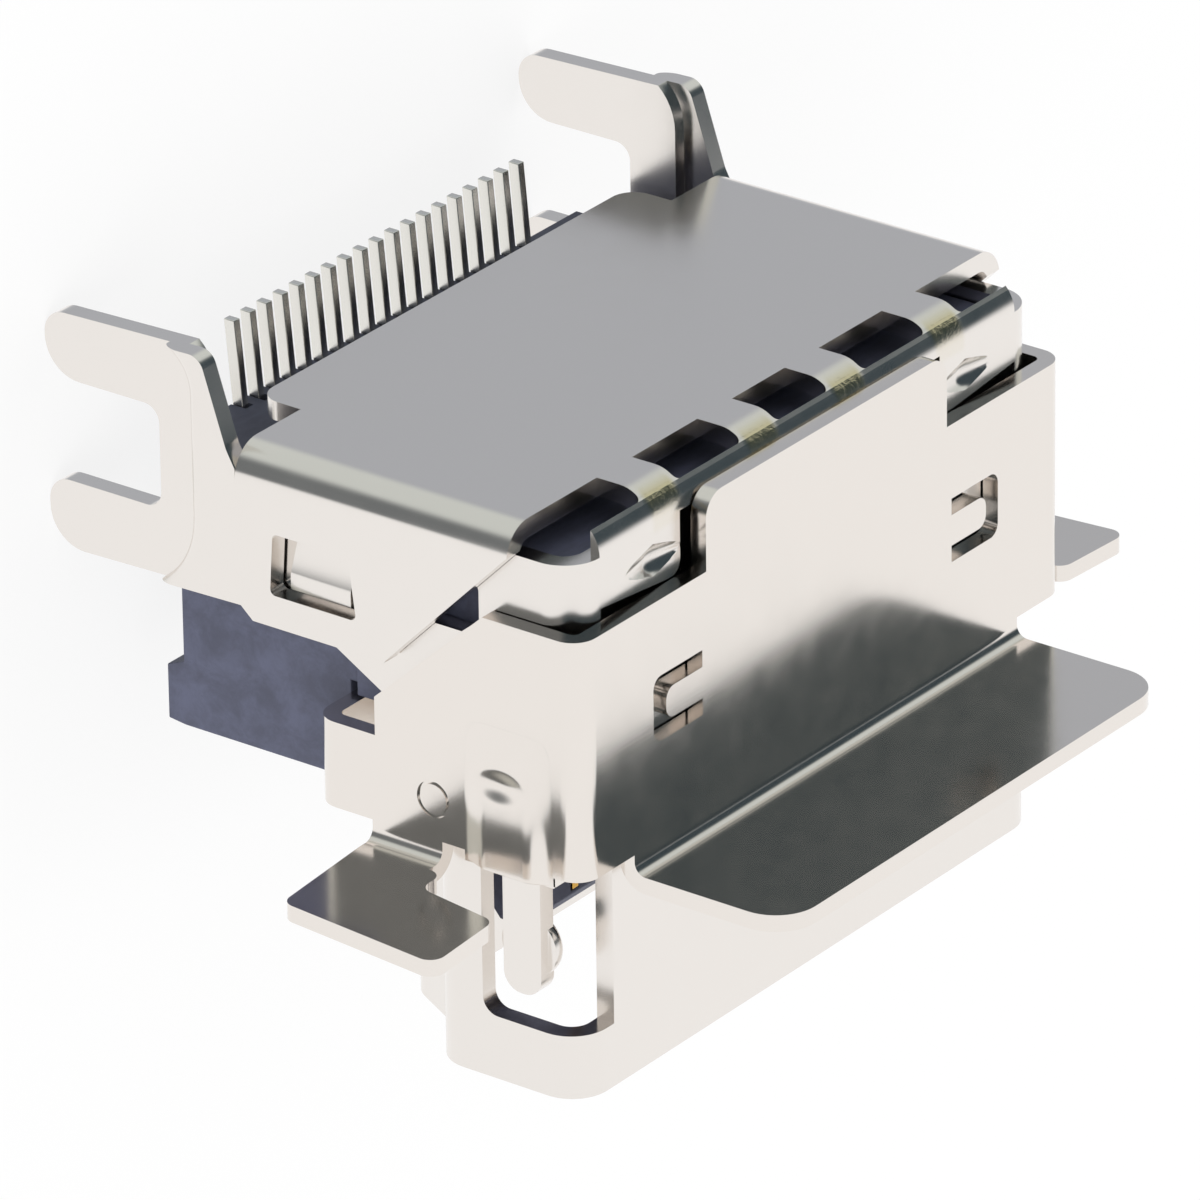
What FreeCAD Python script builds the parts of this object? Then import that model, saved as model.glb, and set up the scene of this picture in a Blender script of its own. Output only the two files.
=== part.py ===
import FreeCAD, Part
import math
import os
import Sketcher

# Board-mount HDMI socket, tall version with panel flanges.
# Millimetres. Z rises from the circuit board, the mouth faces -Y, X = 0 halves the socket.
# Every outline is written with Y counted from the mouth plane; each body is then moved
# so that the middle of the front foot of the housing is the origin.

SIZES = {
    # Where the origin lies
    "origin_behind_mouth": 5.4,
    # Sheet metal and clearances
    "inner_sheet": 0.4,
    "outer_sheet": 0.35,
    "shell_gap": 0.03,
    "flap_gap": 0.05,
    "plastic_gap": 0.05,
    "contact_gap": 0.03,
    # How far a cut runs past the metal or plastic it takes away
    "cut_past": 1.0,
    "cut_into": 0.15,
    # Mouth tube of the inner shell
    "nose_half_width": 7.5,
    "nose_top": 10.45,
    "nose_height": 5.55,
    "nose_corner": 0.8,
    "shoulder_drop": 3.4,
    "waist_half_width": 6.35,
    "waist_drop": 3.75,
    "keel_half_width": 5.4,
    "waist_round": 0.7,
    "nose_depth": 6.6,
    "seam_width": 0.12,
    # Side windows of the mouth tube and their spring fingers
    "window_front": 1.33,
    "window_rear": 5.3,
    "window_low": 8.15,
    "window_inboard": 6.45,
    "window_round": 0.35,
    "finger_low": 8.66,
    "finger_high": 9.54,
    "finger_tip": 2.0,
    "finger_round": 0.4,
    "dimple_from_mouth": 2.6,
    "dimple_half_length": 0.32,
    "dimple_radius": 0.34,
    "dimple_lift": 0.16,
    "dimple_end_round": 0.2,
    # Contact springs pressed into the mouth from the top and bottom wall
    "spring_middle": 3.1,
    "spring_half_width": 0.75,
    "spring_slit": 0.3,
    "spring_front": 4.55,
    "spring_root": 0.4,
    # Rear box of the inner shell
    "box_rear": 11.15,
    "box_low": 3.2,
    "box_front": 8.07,
    "box_slant_high": 5.9,
    "box_slant_low": 4.8,
    "box_slant_front": 7.42,
    "box_shelf": 7.08,
    "box_shelf_rear": 6.8,
    # Cut-outs of its side walls, open towards the slanted edge of the flaps
    "vent_front": 9.22,
    "vent_slant_rear": 9.56,
    "vent_rear": 10.3,
    "vent_low": 6.6,
    "vent_slant_low": 7.81,
    "vent_high": 8.22,
    "vent_round": 0.15,
    # Latch bumps pressed out of its side walls into the latch windows
    "bump_front": 9.15,
    "bump_flat_rear": 9.45,
    "bump_rear": 10.2,
    "bump_low": 4.0,
    "bump_high": 5.42,
    "bump_lift": 0.28,
    "bump_round": 0.3,
    # Lens-shaped louvres in the roof of the rear box
    "lens_middle": 5.05,
    "lens_from_mouth": 10.45,
    "lens_half_length": 1.7,
    "lens_radius": 0.38,
    "lens_depth": 0.2,
    # Shallow step that lets the roof pass under the outer shell
    "recess_depth": 0.2,
    "recess_front": 9.0,
    "recess_rear": 9.85,
    "recess_rear_out": 10.1,
    "recess_inboard": 4.2,
    "recess_outboard": 6.7,
    "recess_round": 0.3,
    # Rear cover
    "cover_rear": 11.85,
    "cover_round": 0.7,
    "cover_top": 9.22,
    "cover_side_low": 2.85,
    "apron_low": 1.8,
    "apron_half_width": 5.9,
    "apron_corner": 0.5,
    "roof_bend": 0.7,
    # Openings along the bend, with bridges left between them
    "opening_top": 10.24,
    "opening_depth": 1.0,
    "bridge_inner_edge": 0.85,
    "bridge_outer_edge": 1.95,
    "corner_bridge_inner_edge": 4.02,
    "corner_bridge_outer_edge": 5.12,
    "opening_round": 0.12,
    "bend_half_width": 6.7,
    # Side flaps with latch windows
    "flap_front": 8.33,
    "flap_step_low": 2.92,
    "flap_step_high": 3.2,
    "flap_step_front": 8.58,
    "flap_slant_low": 6.3,
    "flap_slant_round": 0.25,
    "flap_slant_rear": 11.27,
    "latch_low": 3.72,
    "latch_low_front": 3.63,
    "latch_high": 5.5,
    "latch_high_front": 5.67,
    "latch_front": 9.0,
    "latch_rear": 10.28,
    "latch_round": 0.12,
    "latch_rear_round": 0.3,
    # Fork legs
    "fork_front": 8.58,
    "fork_front_tip": 8.46,
    "fork_rear": 13.5,
    "fork_rear_tip": 13.38,
    "fork_tip": 1.88,
    "fork_tip_round_front": 0.8,
    "fork_tip_round_rear": 0.5,
    "fork_gap_front": 9.91,
    "fork_gap_rear": 12.03,
    "fork_gap_top": 0.84,
    "fork_gap_round": 0.35,
    "fork_shoulder": 2.08,
    "fork_shoulder_round": 0.35,
    "fork_elbow": 11.75,
    "fork_elbow_high": 2.66,
    "fork_elbow_round": 0.6,
    "fork_neck": 11.4,
    # Step pressed into the legs, which sets both prongs inwards
    "fork_step": 0.29,
    "fork_step_high": 1.73,
    "fork_step_front": 8.2,
    "fork_step_rear": 13.55,
    "fork_step_round_front": 1.9,
    "fork_step_round_rear": 0.95,
    "fork_step_blend": 0.22,
    "fork_step_back": 0.22,
    # Outer shell
    "sleeve_front": 4.9,
    "sleeve_lip": 4.68,
    "sleeve_corner": 0.5,
    "sleeve_bottom_rear": 6.7,
    "sleeve_side_low": 6.0,
    "sleeve_side_rear": 7.5,
    "sleeve_slant_high": 8.58,
    "sleeve_roof_rear": 9.87,
    "sleeve_tongue_rear": 11.42,
    "sleeve_tongue_half_width": 3.9,
    "sleeve_tongue_round": 0.5,
    # Panel flange above the mouth
    "flange_front": 4.15,
    "flange_half_width": 6.25,
    "flange_top": 14.35,
    "flange_corner": 0.9,
    "flange_bend": 0.25,
    # Panel ears beside the mouth
    "ear_low": 5.9,
    "ear_root_high": 7.55,
    "ear_root_out": 8.3,
    "ear_reach": 11.32,
    "ear_reach_low": 6.12,
    "ear_reach_out_low": 10.95,
    "ear_top": 9.95,
    "ear_top_in": 9.3,
    "ear_top_in_high": 9.82,
    "ear_neck": 9.0,
    "ear_shelf": 7.88,
    "ear_shelf_in": 8.2,
    "ear_round": 0.3,
    # Lanced roof windows of the outer shell
    "lance_inboard": 4.05,
    "lance_outboard": 5.6,
    "lance_front": 6.95,
    "lance_rear": 8.3,
    "lance_tongue_front": 7.3,
    "lance_tongue_rear": 7.95,
    "lance_tongue_out": 5.2,
    "lance_round": 0.25,
    # Bulge in the side walls that clears the spring fingers
    "bulge_low": 8.08,
    "bulge_high": 10.15,
    "bulge_rear": 6.75,
    "bulge_lift": 0.14,
    "bulge_round": 0.12,
    # Marks pressed into the side walls of the outer shell
    "ring_from_mouth": 5.74,
    "ring_high": 7.35,
    "ring_radius": 0.38,
    "ring_line": 0.07,
    "ring_depth": 0.05,
    "dent_from_mouth": 6.45,
    "dent_high": 8.93,
    "dent_half_length": 0.62,
    "dent_radius": 0.5,
    "dent_end_round": 0.3,
    "dent_depth": 0.16,
    # Plastic housing
    "block_half_width": 7.05,
    "block_front": 6.9,
    "block_rear": 10.9,
    "block_top": 9.95,
    "block_low": 4.95,
    "pedestal_inset": 0.45,
    "pedestal_front": 4.8,
    "pedestal_rear": 8.85,
    "pedestal_top": 4.45,
    "pedestal_low": 0.4,
    "foot_front": 4.85,
    "foot_rear": 6.0,
    "foot_bevel": 0.15,
    "tongue_half_width": 5.75,
    "tongue_front": 2.3,
    "tongue_top": 8.1,
    "tongue_thick": 1.1,
    "tongue_bevel": 0.3,
    "tongue_bevel_high": 0.25,
    # Comb that guides the tails
    "comb_half_width": 6.4,
    "comb_rear": 10.75,
    "comb_low": 0.15,
    "comb_top": 2.6,
    "comb_scallop": 0.35,
    # Contacts
    "contact_pitch": 1.0,
    "contact_wide": 0.18,
    "contact_tall": 0.25,
    "contact_proud": 0.02,
    "contact_front": 2.7,
    "contact_bend": 0.3,
    "upper_count": 10,
    "lower_count": 9,
    "upper_leg": 10.1,
    "lower_leg": 9.3,
    "tail_end": 12.5,
    "tail_rise": 0.093,
}

SHEET_NAME = "Sizes"
FIRST_ROW = 2
SETTLED = 1e-6
NEAR_ENOUGH = 0.01
FULL_TURN = 360.0
ROWS = 2
HALF = 0.5


class Dim:
    """A number together with the sheet expression it comes from."""

    def __init__(self, value, text):
        self.value = float(value)
        self.text = text

    def join(self, sign, other):
        other = as_dim(other)
        worth = {
            "+": self.value + other.value,
            "-": self.value - other.value,
            "*": self.value * other.value,
        }[sign]
        return Dim(worth, "(" + self.text + " " + sign + " " + other.text + ")")

    def __add__(self, other):
        return self.join("+", other)

    def __sub__(self, other):
        return self.join("-", other)

    def __mul__(self, other):
        return self.join("*", other)

    def __neg__(self):
        return Dim(-self.value, "(-" + self.text + ")")


def as_dim(number):
    if isinstance(number, Dim):
        return number
    return Dim(number, "(" + repr(float(number)) + ")")


def fill_sheet(doc):
    """Write every size into its own row and return them as expressions."""
    sheet = doc.addObject("Spreadsheet::Sheet", SHEET_NAME)
    for row, (alias, size) in enumerate(SIZES.items(), start=FIRST_ROW):
        sheet.set("A" + str(row), alias)
        sheet.set("B" + str(row), str(size))
        sheet.setAlias("B" + str(row), alias)
    doc.recompute()
    return {alias: Dim(size, SHEET_NAME + "." + alias) for alias, size in SIZES.items()}


ZERO = as_dim(0.0)


class Corner:
    """One corner of an outline, sharp or rounded."""

    def __init__(self, across, up, radius=None):
        self.across = as_dim(across)
        self.up = as_dim(up)
        self.radius = radius

    def point(self):
        return FreeCAD.Vector(self.across.value, self.up.value, 0)

    def mirrored(self):
        return Corner(-self.across, self.up, self.radius)


def box(left, low, right, high, radius=None):
    return [
        Corner(left, low, radius),
        Corner(right, low, radius),
        Corner(right, high, radius),
        Corner(left, high, radius),
    ]


def with_mirror(half):
    """Close a half outline, listed from the middle outwards, over the middle plane."""
    return half + [corner.mirrored() for corner in reversed(half)]


def mirrored_loop(corners):
    return [corner.mirrored() for corner in reversed(corners)]


class Outline:
    """A sketch under construction: closed loops tied to the sheet."""

    def __init__(self, sketch):
        self.sketch = sketch
        self.shapes = []
        self.points = []
        self.rules = []
        self.bound = []

    def rule(self, *parts):
        self.rules.append(Sketcher.Constraint(*parts))

    def sized_rule(self, text, *parts):
        self.bound.append((len(self.rules), text))
        self.rule(*parts)

    def pin(self, shape, end, across, up):
        """Hold one point at two distances from the sketch origin."""
        self.pin_along("DistanceX", -2, shape, end, across)
        self.pin_along("DistanceY", -1, shape, end, up)

    def pin_along(self, kind, axis, shape, end, distance):
        if abs(distance.value) < SETTLED:
            self.rule("PointOnObject", shape, end, axis)
        elif distance.value > 0:
            self.sized_rule(distance.text, kind, -1, 1, shape, end, distance.value)
        else:
            self.sized_rule("-" + distance.text, kind, shape, end, -1, 1, -distance.value)

    def loop(self, corners, offset=None):
        """Straight edges between corners, with a tangent arc where a corner is rounded.

        With an offset given, a second loop runs at that distance inside the first.
        """
        count = len(corners)
        base = len(self.shapes)
        ends = []
        arcs = []
        for place, corner in enumerate(corners):
            before = corners[place - 1].point()
            after = corners[(place + 1) % count].point()
            ends.append(corner_points(before, corner, after))
        for place in range(count):
            leave = ends[place]["leave"]
            arrive = ends[(place + 1) % count]["arrive"]
            self.shapes.append(Part.LineSegment(leave, arrive))
        for place, corner in enumerate(corners):
            into = base + (place - 1) % count
            out = base + place
            if corner.radius is None:
                self.rule("Coincident", into, 2, out, 1)
                self.pin(out, 1, corner.across, corner.up)
                arcs.append(None)
            else:
                arcs.append(self.round_corner(corner, ends[place], into, out))
        if offset is not None:
            self.inner_loop(corners, ends, arcs, offset)

    def round_corner(self, corner, end, into, out):
        arc = len(self.shapes)
        self.shapes.append(end["arc"])
        first, last = (1, 2) if end["left_turn"] else (2, 1)
        self.rule("Tangent", into, 2, arc, first)
        self.rule("Tangent", arc, last, out, 1)
        self.sized_rule(corner.radius.text, "Radius", arc, corner.radius.value)
        self.points.append((corner, into, out))
        return arc

    def inner_loop(self, corners, ends, arcs, offset):
        """Arcs share the centres of the outer ones, so the edges keep their distance."""
        count = len(corners)
        shifted = []
        for corner, end in zip(corners, ends):
            shifted.append(inner_corner(corner, end, offset))
        base = len(self.shapes)
        for place in range(count):
            leave = shifted[place]["leave"]
            arrive = shifted[(place + 1) % count]["arrive"]
            self.shapes.append(Part.LineSegment(leave, arrive))
        for place, end in enumerate(shifted):
            arc = len(self.shapes)
            self.shapes.append(end["arc"])
            first, last = (1, 2) if end["left_turn"] else (2, 1)
            self.rule("Tangent", base + (place - 1) % count, 2, arc, first)
            self.rule("Tangent", arc, last, base + place, 1)
            self.rule("Coincident", arc, 3, arcs[place], 3)
            self.sized_rule(end["radius"].text, "Radius", arc, end["radius"].value)

    def circle(self, across, up, radius):
        index = len(self.shapes)
        middle = FreeCAD.Vector(across.value, up.value, 0)
        self.shapes.append(Part.Circle(middle, FreeCAD.Vector(0, 0, 1), radius.value))
        self.pin(index, 3, across, up)
        self.sized_rule(radius.text, "Radius", index, radius.value)

    def finish(self):
        self.sketch.addGeometry(self.shapes, False)
        for corner, into, out in self.points:
            helper = self.sketch.addGeometry(Part.Point(corner.point()), True)
            self.rule("PointOnObject", helper, 1, into)
            self.rule("PointOnObject", helper, 1, out)
            self.pin(helper, 1, corner.across, corner.up)
        self.sketch.addConstraint(self.rules)
        for index, text in self.bound:
            self.sketch.setExpression("Constraints[" + str(index) + "]", text)


def corner_points(before, corner, after):
    """Where a rounded corner leaves its two edges, and the arc between."""
    tip = corner.point()
    if corner.radius is None:
        return {"arrive": tip, "leave": tip}
    back = (before - tip).normalize()
    ahead = (after - tip).normalize()
    half_angle = back.getAngle(ahead) / 2
    radius = corner.radius.value
    reach = radius / math.tan(half_angle)
    arrive = tip + back * reach
    leave = tip + ahead * reach
    centre = tip + (back + ahead).normalize() * (radius / math.sin(half_angle))
    left_turn = back.x * ahead.y - back.y * ahead.x < 0
    return {
        "arrive": arrive,
        "leave": leave,
        "centre": centre,
        "left_turn": left_turn,
        "arc": arc_between(centre, radius, arrive, leave, left_turn),
    }


def arc_between(centre, radius, arrive, leave, left_turn):
    start, stop = (arrive, leave) if left_turn else (leave, arrive)
    first = math.atan2(start.y - centre.y, start.x - centre.x)
    last = math.atan2(stop.y - centre.y, stop.x - centre.x)
    if last < first:
        last += 2 * math.pi
    return Part.ArcOfCircle(Part.Circle(centre, FreeCAD.Vector(0, 0, 1), radius), first, last)


def inner_corner(corner, end, offset):
    """The same corner seen a sheet thickness further in, for a loop listed anticlockwise."""
    radius = corner.radius - offset if end["left_turn"] else corner.radius + offset
    scale = radius.value / corner.radius.value
    centre = end["centre"]
    arrive = centre + (end["arrive"] - centre) * scale
    leave = centre + (end["leave"] - centre) * scale
    return {
        "arrive": arrive,
        "leave": leave,
        "radius": radius,
        "left_turn": end["left_turn"],
        "arc": arc_between(centre, radius.value, arrive, leave, end["left_turn"]),
    }


class Piece:
    """One body of the socket, grown feature by feature."""

    # Which way the sketch normal of each origin plane points along its world axis
    NORMALS = {"XY_Plane": 1, "XZ_Plane": -1, "YZ_Plane": 1}

    def __init__(self, doc, node, dims):
        self.doc = doc
        self.dims = dims
        self.body = doc.addObject("PartDesign::Body", node)
        self.body.Label = node
        self.body.setExpression(".Placement.Base.y", "-" + dims["origin_behind_mouth"].text)

    def origin(self, role):
        return next(part for part in self.body.Origin.OriginFeatures if part.Role == role)

    def sketch(self, name, plane, place, draw):
        sketch = self.body.newObject("Sketcher::SketchObject", name + "_outline")
        sketch.AttachmentSupport = [(self.origin(plane), "")]
        sketch.MapMode = "FlatFace"
        shift = place if self.NORMALS[plane] > 0 else -place
        sketch.setExpression(".AttachmentOffset.Base.z", shift.text)
        outline = Outline(sketch)
        draw(outline)
        outline.finish()
        sketch.Visibility = False
        return sketch

    def add(self, name, plane, start, stop, draw):
        """Grow material between two planes square to one axis."""
        place = start if self.NORMALS[plane] > 0 else stop
        pad = self.body.newObject("PartDesign::Pad", name)
        pad.Profile = self.sketch(name, plane, place, draw)
        pad.setExpression("Length", (stop - start).text)
        self.body.Tip = pad
        return pad

    def cut(self, name, plane, start, stop, draw):
        """Remove material between two planes square to one axis."""
        place = stop if self.NORMALS[plane] > 0 else start
        pocket = self.body.newObject("PartDesign::Pocket", name)
        pocket.Profile = self.sketch(name, plane, place, draw)
        pocket.setExpression("Length", (stop - start).text)
        self.body.Tip = pocket
        return pocket

    def spin(self, kind, name, plane, place, corners):
        """Turn a profile once round its first edge, to press a dent or a bump."""
        feature = self.body.newObject("PartDesign::" + kind, name)
        profile = self.sketch(name, plane, place, loops(corners))
        feature.Profile = profile
        feature.ReferenceAxis = (profile, ["Edge1"])
        feature.Angle = FULL_TURN
        self.body.Tip = feature
        return feature

    def mirror(self, feature):
        copy = self.body.newObject("PartDesign::Mirrored", feature.Name + "_mirrored")
        copy.Originals = [feature]
        copy.MirrorPlane = (self.origin("YZ_Plane"), [""])
        self.body.Tip = copy
        return copy

    def repeat(self, feature, pitch, count):
        """Repeat a feature along +X."""
        row = self.body.newObject("PartDesign::LinearPattern", feature.Name + "_row")
        row.Originals = [feature]
        row.Direction = (self.origin("X_Axis"), [""])
        row.setExpression("Length", (pitch * (count - 1)).text)
        row.setExpression("Occurrences", count.text)
        self.body.Tip = row
        return row

    def round_edges(self, name, radius, along, near):
        """Round the straight edges that run along one axis through given places."""
        self.doc.recompute()
        base = self.body.Tip
        chosen = []
        for index, edge in enumerate(base.Shape.Edges, start=1):
            if is_wanted(edge, along, near):
                chosen.append("Edge" + str(index))
        fillet = self.body.newObject("PartDesign::Fillet", name)
        fillet.Base = (base, chosen)
        fillet.setExpression("Radius", radius.text)
        self.body.Tip = fillet
        return fillet


def is_wanted(edge, along, near):
    if len(edge.Vertexes) != 2:
        return False
    run = edge.Vertexes[1].Point - edge.Vertexes[0].Point
    if abs(run.normalize().dot(along)) < 1 - SETTLED:
        return False
    start = edge.Vertexes[0].Point
    for place in near:
        offset = start - place
        across = offset - along * offset.dot(along)
        if across.Length < NEAR_ENOUGH:
            return True
    return False


def loops(*outlines):
    """A drawing made of several plain loops."""

    def draw(outline):
        for corners in outlines:
            outline.loop(corners)

    return draw


def both_sides(corners):
    return loops(corners, mirrored_loop(corners))


def mouth_outline(d):
    """Half of the mouth tube from the bottom middle round to the top."""
    top = d["nose_top"]
    return with_mirror([
        Corner(d["keel_half_width"], top - d["nose_height"], d["waist_round"]),
        Corner(d["waist_half_width"], top - d["waist_drop"], d["waist_round"]),
        Corner(d["nose_half_width"], top - d["shoulder_drop"], d["nose_corner"]),
        Corner(d["nose_half_width"], top, d["nose_corner"]),
    ])


def channel_half(d, half_width, low, top, corner, sheet):
    """Roof and side walls seen from the mouth, listed anticlockwise."""
    inner_half = half_width - sheet
    return [
        Corner(-half_width, low),
        Corner(-inner_half, low),
        Corner(-inner_half, top - sheet, corner - sheet),
        Corner(inner_half, top - sheet, corner - sheet),
        Corner(inner_half, low),
        Corner(half_width, low),
        Corner(half_width, top, corner),
        Corner(-half_width, top, corner),
    ]


def grow_cover(piece, d):
    """Rear wall and flaps as one sheet bent round the rear box, seen from above."""
    inside = d["nose_half_width"] + d["flap_gap"]
    outside = inside + d["inner_sheet"]
    rear = d["cover_rear"]
    corner = d["cover_round"]
    inner_corner_round = corner - d["inner_sheet"]
    plan = [
        Corner(-outside, d["flap_front"]),
        Corner(-inside, d["flap_front"]),
        Corner(-inside, rear - d["inner_sheet"], inner_corner_round),
        Corner(inside, rear - d["inner_sheet"], inner_corner_round),
        Corner(inside, d["flap_front"]),
        Corner(outside, d["flap_front"]),
        Corner(outside, rear, corner),
        Corner(-outside, rear, corner),
    ]
    piece.add("cover", "XY_Plane", d["cover_side_low"], d["cover_top"], loops(plan))


def fork_outline(d):
    """Side view of a leg: neck with a slanted rear edge, then two rounded prongs."""
    tip = -d["fork_tip"]
    front_round = d["fork_tip_round_front"]
    rear_round = d["fork_tip_round_rear"]
    return [
        Corner(d["fork_front"], d["cover_side_low"]),
        Corner(d["fork_front_tip"], tip, front_round),
        Corner(d["fork_gap_front"], tip, rear_round),
        Corner(d["fork_gap_front"], d["fork_gap_top"], d["fork_gap_round"]),
        Corner(d["fork_gap_rear"], d["fork_gap_top"], d["fork_gap_round"]),
        Corner(d["fork_gap_rear"], tip, front_round),
        Corner(d["fork_rear_tip"], tip, rear_round),
        Corner(d["fork_rear"], d["fork_shoulder"], d["fork_shoulder_round"]),
        Corner(d["fork_elbow"], d["fork_elbow_high"], d["fork_elbow_round"]),
        Corner(d["fork_neck"], d["cover_side_low"]),
    ]


def grow_forks(piece, d):
    """Board legs: a plate below each flap, pressed inwards towards its two prongs."""
    inside = d["nose_half_width"] + d["flap_gap"]
    outside = inside + d["inner_sheet"]
    step = d["fork_step"]
    past = d["cut_past"]
    high = d["fork_step_high"]
    front = d["fork_step_front"]
    rear = d["fork_step_rear"]
    round_front = d["fork_step_round_front"]
    round_rear = d["fork_step_round_rear"]
    deep = -d["fork_tip"] - past
    leg = piece.add("leg", "YZ_Plane", inside - step, outside, loops(fork_outline(d)))
    piece.mirror(leg)
    pressed = [
        Corner(front, deep),
        Corner(rear, deep),
        Corner(rear, high, round_rear),
        Corner(front, high, round_front),
    ]
    outer = piece.cut("leg_step", "YZ_Plane", outside - step, outside + past, loops(pressed))
    piece.mirror(outer)
    back = d["fork_step_back"]
    behind = [
        Corner(front - past, deep),
        Corner(front - back, deep),
        Corner(front - back, high + back, round_front + back),
        Corner(rear + back, high + back, round_rear + back),
        Corner(rear + back, deep),
        Corner(rear + past, deep),
        Corner(rear + past, d["cover_side_low"]),
        Corner(front - past, d["cover_side_low"]),
    ]
    inner = piece.cut("leg_back", "YZ_Plane", inside - step - past, inside, loops(behind))
    piece.mirror(inner)
    places = []
    for across in (outside.value, -outside.value):
        places.append(FreeCAD.Vector(across, 0, high.value))
    piece.round_edges("leg_step_blend", d["fork_step_blend"], FreeCAD.Vector(0, 1, 0), places)


def shape_flaps(piece, d):
    """Slanted front edges and latch windows of both flaps."""
    past = d["cut_past"]
    reach = d["nose_half_width"] + d["flap_gap"] + d["inner_sheet"] + past
    slant = [
        Corner(d["flap_front"] - past, d["flap_slant_low"]),
        Corner(d["flap_front"], d["flap_slant_low"], d["flap_slant_round"]),
        Corner(d["flap_slant_rear"], d["cover_top"]),
        Corner(d["flap_slant_rear"], d["cover_top"] + past),
        Corner(d["flap_front"] - past, d["cover_top"] + past),
    ]
    piece.cut("flap_slant", "YZ_Plane", -reach, reach, loops(slant))
    below = [
        Corner(d["flap_front"] - past, d["cover_side_low"]),
        Corner(d["flap_step_front"], d["cover_side_low"]),
        Corner(d["flap_step_front"], d["flap_step_low"]),
        Corner(d["flap_front"], d["flap_step_high"]),
        Corner(d["flap_front"] - past, d["flap_step_high"]),
    ]
    piece.cut("flap_step", "YZ_Plane", -reach, reach, loops(below))
    round_by = d["latch_round"]
    window = [
        Corner(d["latch_front"], d["latch_low_front"], round_by),
        Corner(d["latch_front"], d["latch_high_front"], round_by),
        Corner(d["latch_rear"], d["latch_high"], d["latch_rear_round"]),
        Corner(d["latch_rear"], d["latch_low"], round_by),
    ]
    window.reverse()
    piece.cut("latch_window", "YZ_Plane", -reach, reach, loops(window))


def grow_apron(piece, d):
    """Lower part of the rear wall, narrower than the cover above it."""
    half = d["apron_half_width"]
    apron = [
        Corner(-half, d["apron_low"], d["apron_corner"]),
        Corner(half, d["apron_low"], d["apron_corner"]),
        Corner(half, d["cover_side_low"]),
        Corner(-half, d["cover_side_low"]),
    ]
    rear = d["cover_rear"]
    piece.add("apron", "XZ_Plane", rear - d["inner_sheet"], rear, loops(apron))


def grow_bend(piece, d):
    """The roof bends down into the rear wall; openings leave four bridges between them."""
    rear = d["cover_rear"]
    top = d["nose_top"]
    sheet = d["inner_sheet"]
    bend = d["roof_bend"]
    half = d["bend_half_width"]
    roof_end = d["box_rear"] - sheet
    strip = [
        Corner(rear - sheet, d["cover_top"]),
        Corner(rear, d["cover_top"]),
        Corner(rear, top, bend),
        Corner(roof_end, top),
        Corner(roof_end, top - sheet),
        Corner(rear - sheet, top - sheet, bend - sheet),
    ]
    piece.add("bend", "YZ_Plane", -half, half, loops(strip))
    low = d["cover_top"]
    high = d["opening_top"]
    round_by = d["opening_round"]
    past = d["cut_past"]
    inner = d["bridge_inner_edge"]
    outer = d["bridge_outer_edge"]
    corner_inner = d["corner_bridge_inner_edge"]
    corner_outer = d["corner_bridge_outer_edge"]

    def opening(left, right):
        return [
            Corner(left, low),
            Corner(right, low),
            Corner(right, high, round_by),
            Corner(left, high, round_by),
        ]

    corner_opening = [
        Corner(corner_outer, low),
        Corner(half + past, low),
        Corner(half + past, high),
        Corner(corner_outer, high, round_by),
    ]
    openings = loops(
        opening(-inner, inner),
        opening(outer, corner_inner),
        mirrored_loop(opening(outer, corner_inner)),
        corner_opening,
        mirrored_loop(corner_opening),
    )
    front = rear - d["opening_depth"]
    piece.cut("bend_openings", "XZ_Plane", front, rear + past, openings)


def grow_box(piece, d):
    """Roof and side walls behind the mouth tube."""
    plan = channel_half(
        d, d["nose_half_width"], d["box_low"], d["nose_top"], d["nose_corner"], d["inner_sheet"]
    )
    piece.add("rear_box", "XZ_Plane", d["nose_depth"], d["box_rear"], loops(plan))
    past = d["cut_past"]
    reach = d["nose_half_width"] + d["flap_gap"] * HALF
    below = [
        Corner(d["nose_depth"], d["box_low"] - past),
        Corner(d["box_front"], d["box_low"] - past),
        Corner(d["box_front"], d["box_slant_low"]),
        Corner(d["box_slant_front"], d["box_slant_high"]),
        Corner(d["box_shelf_rear"], d["box_slant_high"]),
        Corner(d["box_shelf_rear"], d["box_shelf"]),
        Corner(d["nose_depth"], d["box_shelf"]),
    ]
    piece.cut("box_front_cut", "YZ_Plane", -reach, reach, loops(below))
    vent = [
        Corner(d["vent_front"], d["vent_low"], d["vent_round"]),
        Corner(d["vent_rear"], d["vent_low"], d["vent_round"]),
        Corner(d["vent_rear"], d["vent_high"], d["vent_round"]),
        Corner(d["vent_slant_rear"], d["vent_high"]),
        Corner(d["vent_front"], d["vent_slant_low"]),
    ]
    piece.cut("side_vents", "YZ_Plane", -reach, reach, loops(vent))


def press_bumps(piece, d):
    """Latch bumps on the side walls, steep towards the mouth and sloping to the rear."""
    wall = d["nose_half_width"]
    lift = wall + d["bump_lift"]
    root = wall - d["inner_sheet"] * HALF
    bump = [
        Corner(root, d["bump_front"]),
        Corner(lift, d["bump_front"]),
        Corner(lift, d["bump_flat_rear"], d["bump_round"]),
        Corner(wall, d["bump_rear"]),
        Corner(root, d["bump_rear"]),
    ]
    piece.add("latch_bumps", "XY_Plane", d["bump_low"], d["bump_high"], both_sides(bump))


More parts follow.
